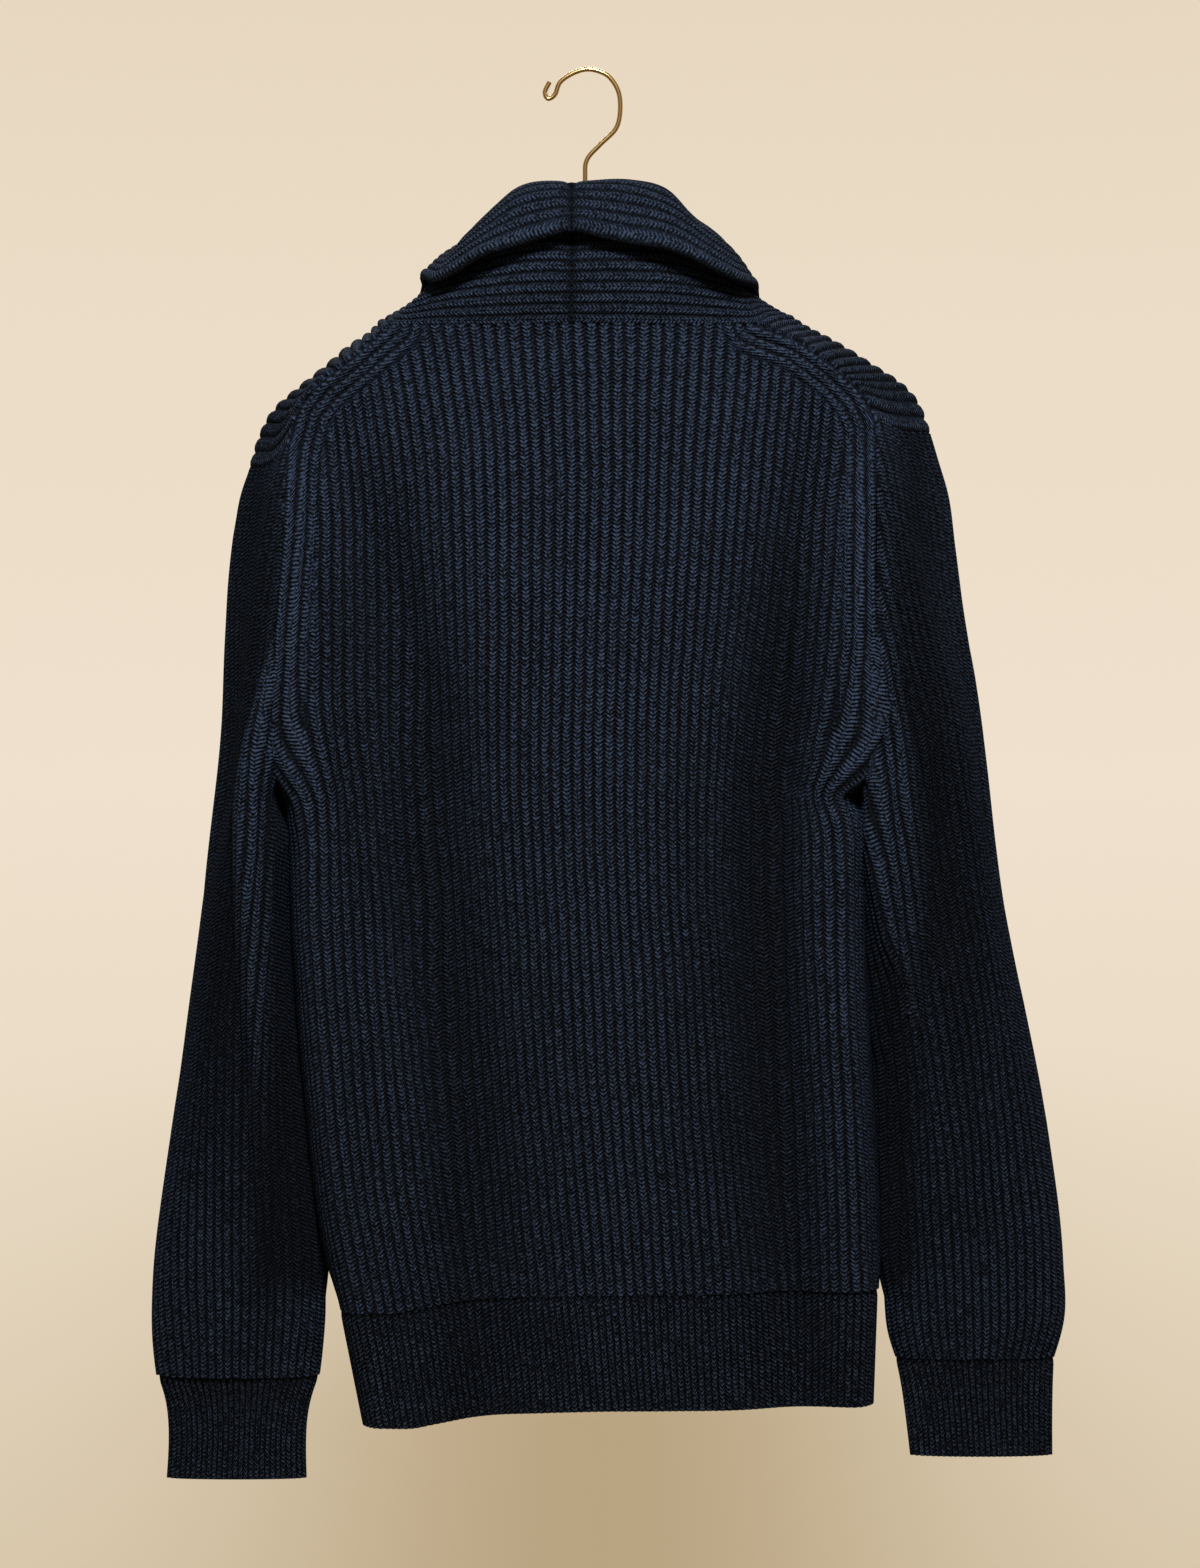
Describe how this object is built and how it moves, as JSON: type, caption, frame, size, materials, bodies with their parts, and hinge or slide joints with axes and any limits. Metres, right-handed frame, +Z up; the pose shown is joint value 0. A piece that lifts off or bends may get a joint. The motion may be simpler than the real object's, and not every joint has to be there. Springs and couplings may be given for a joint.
{
  "type": "shawl collar cardigan on a hanger",
  "caption": "Chunky rib-knit long-sleeved cardigan with a rolled shawl collar and button band, hanging open-necked on a wire-hooked hanger.",
  "frame": {"origin": "underside of the hook's top arc, where a rail carries the hanger", "axes": "+Z up; the cardigan's back faces -Y and its front +Y; the wearer's left is -X"},
  "size_m": [0.5853, 0.179, 0.9105],
  "materials": {
    "wool": "matt fuzzy ribbed lambswool, dark navy",
    "wool_band": "matt fine-ribbed lambswool, dark navy",
    "horn": "satin dark horn",
    "brass": "polished brass wire",
    "rail": "plain satin wood"
  },
  "bodies": {
    "root": {"back_panel": "wool", "front_left": "wool", "front_right": "wool", "sleeve_left": "wool", "sleeve_right": "wool", "collar_left": "wool", "collar_right": "wool", "hem_back": "wool_band", "hem_front_left": "wool_band", "hem_front_right": "wool_band", "cuff_left": "wool_band", "cuff_right": "wool_band", "button_1": "horn", "button_2": "horn", "button_3": "horn", "button_4": "horn", "button_5": "horn", "hanger_hook": "brass", "hanger_rail": "rail"}
  },
  "joints": []
}
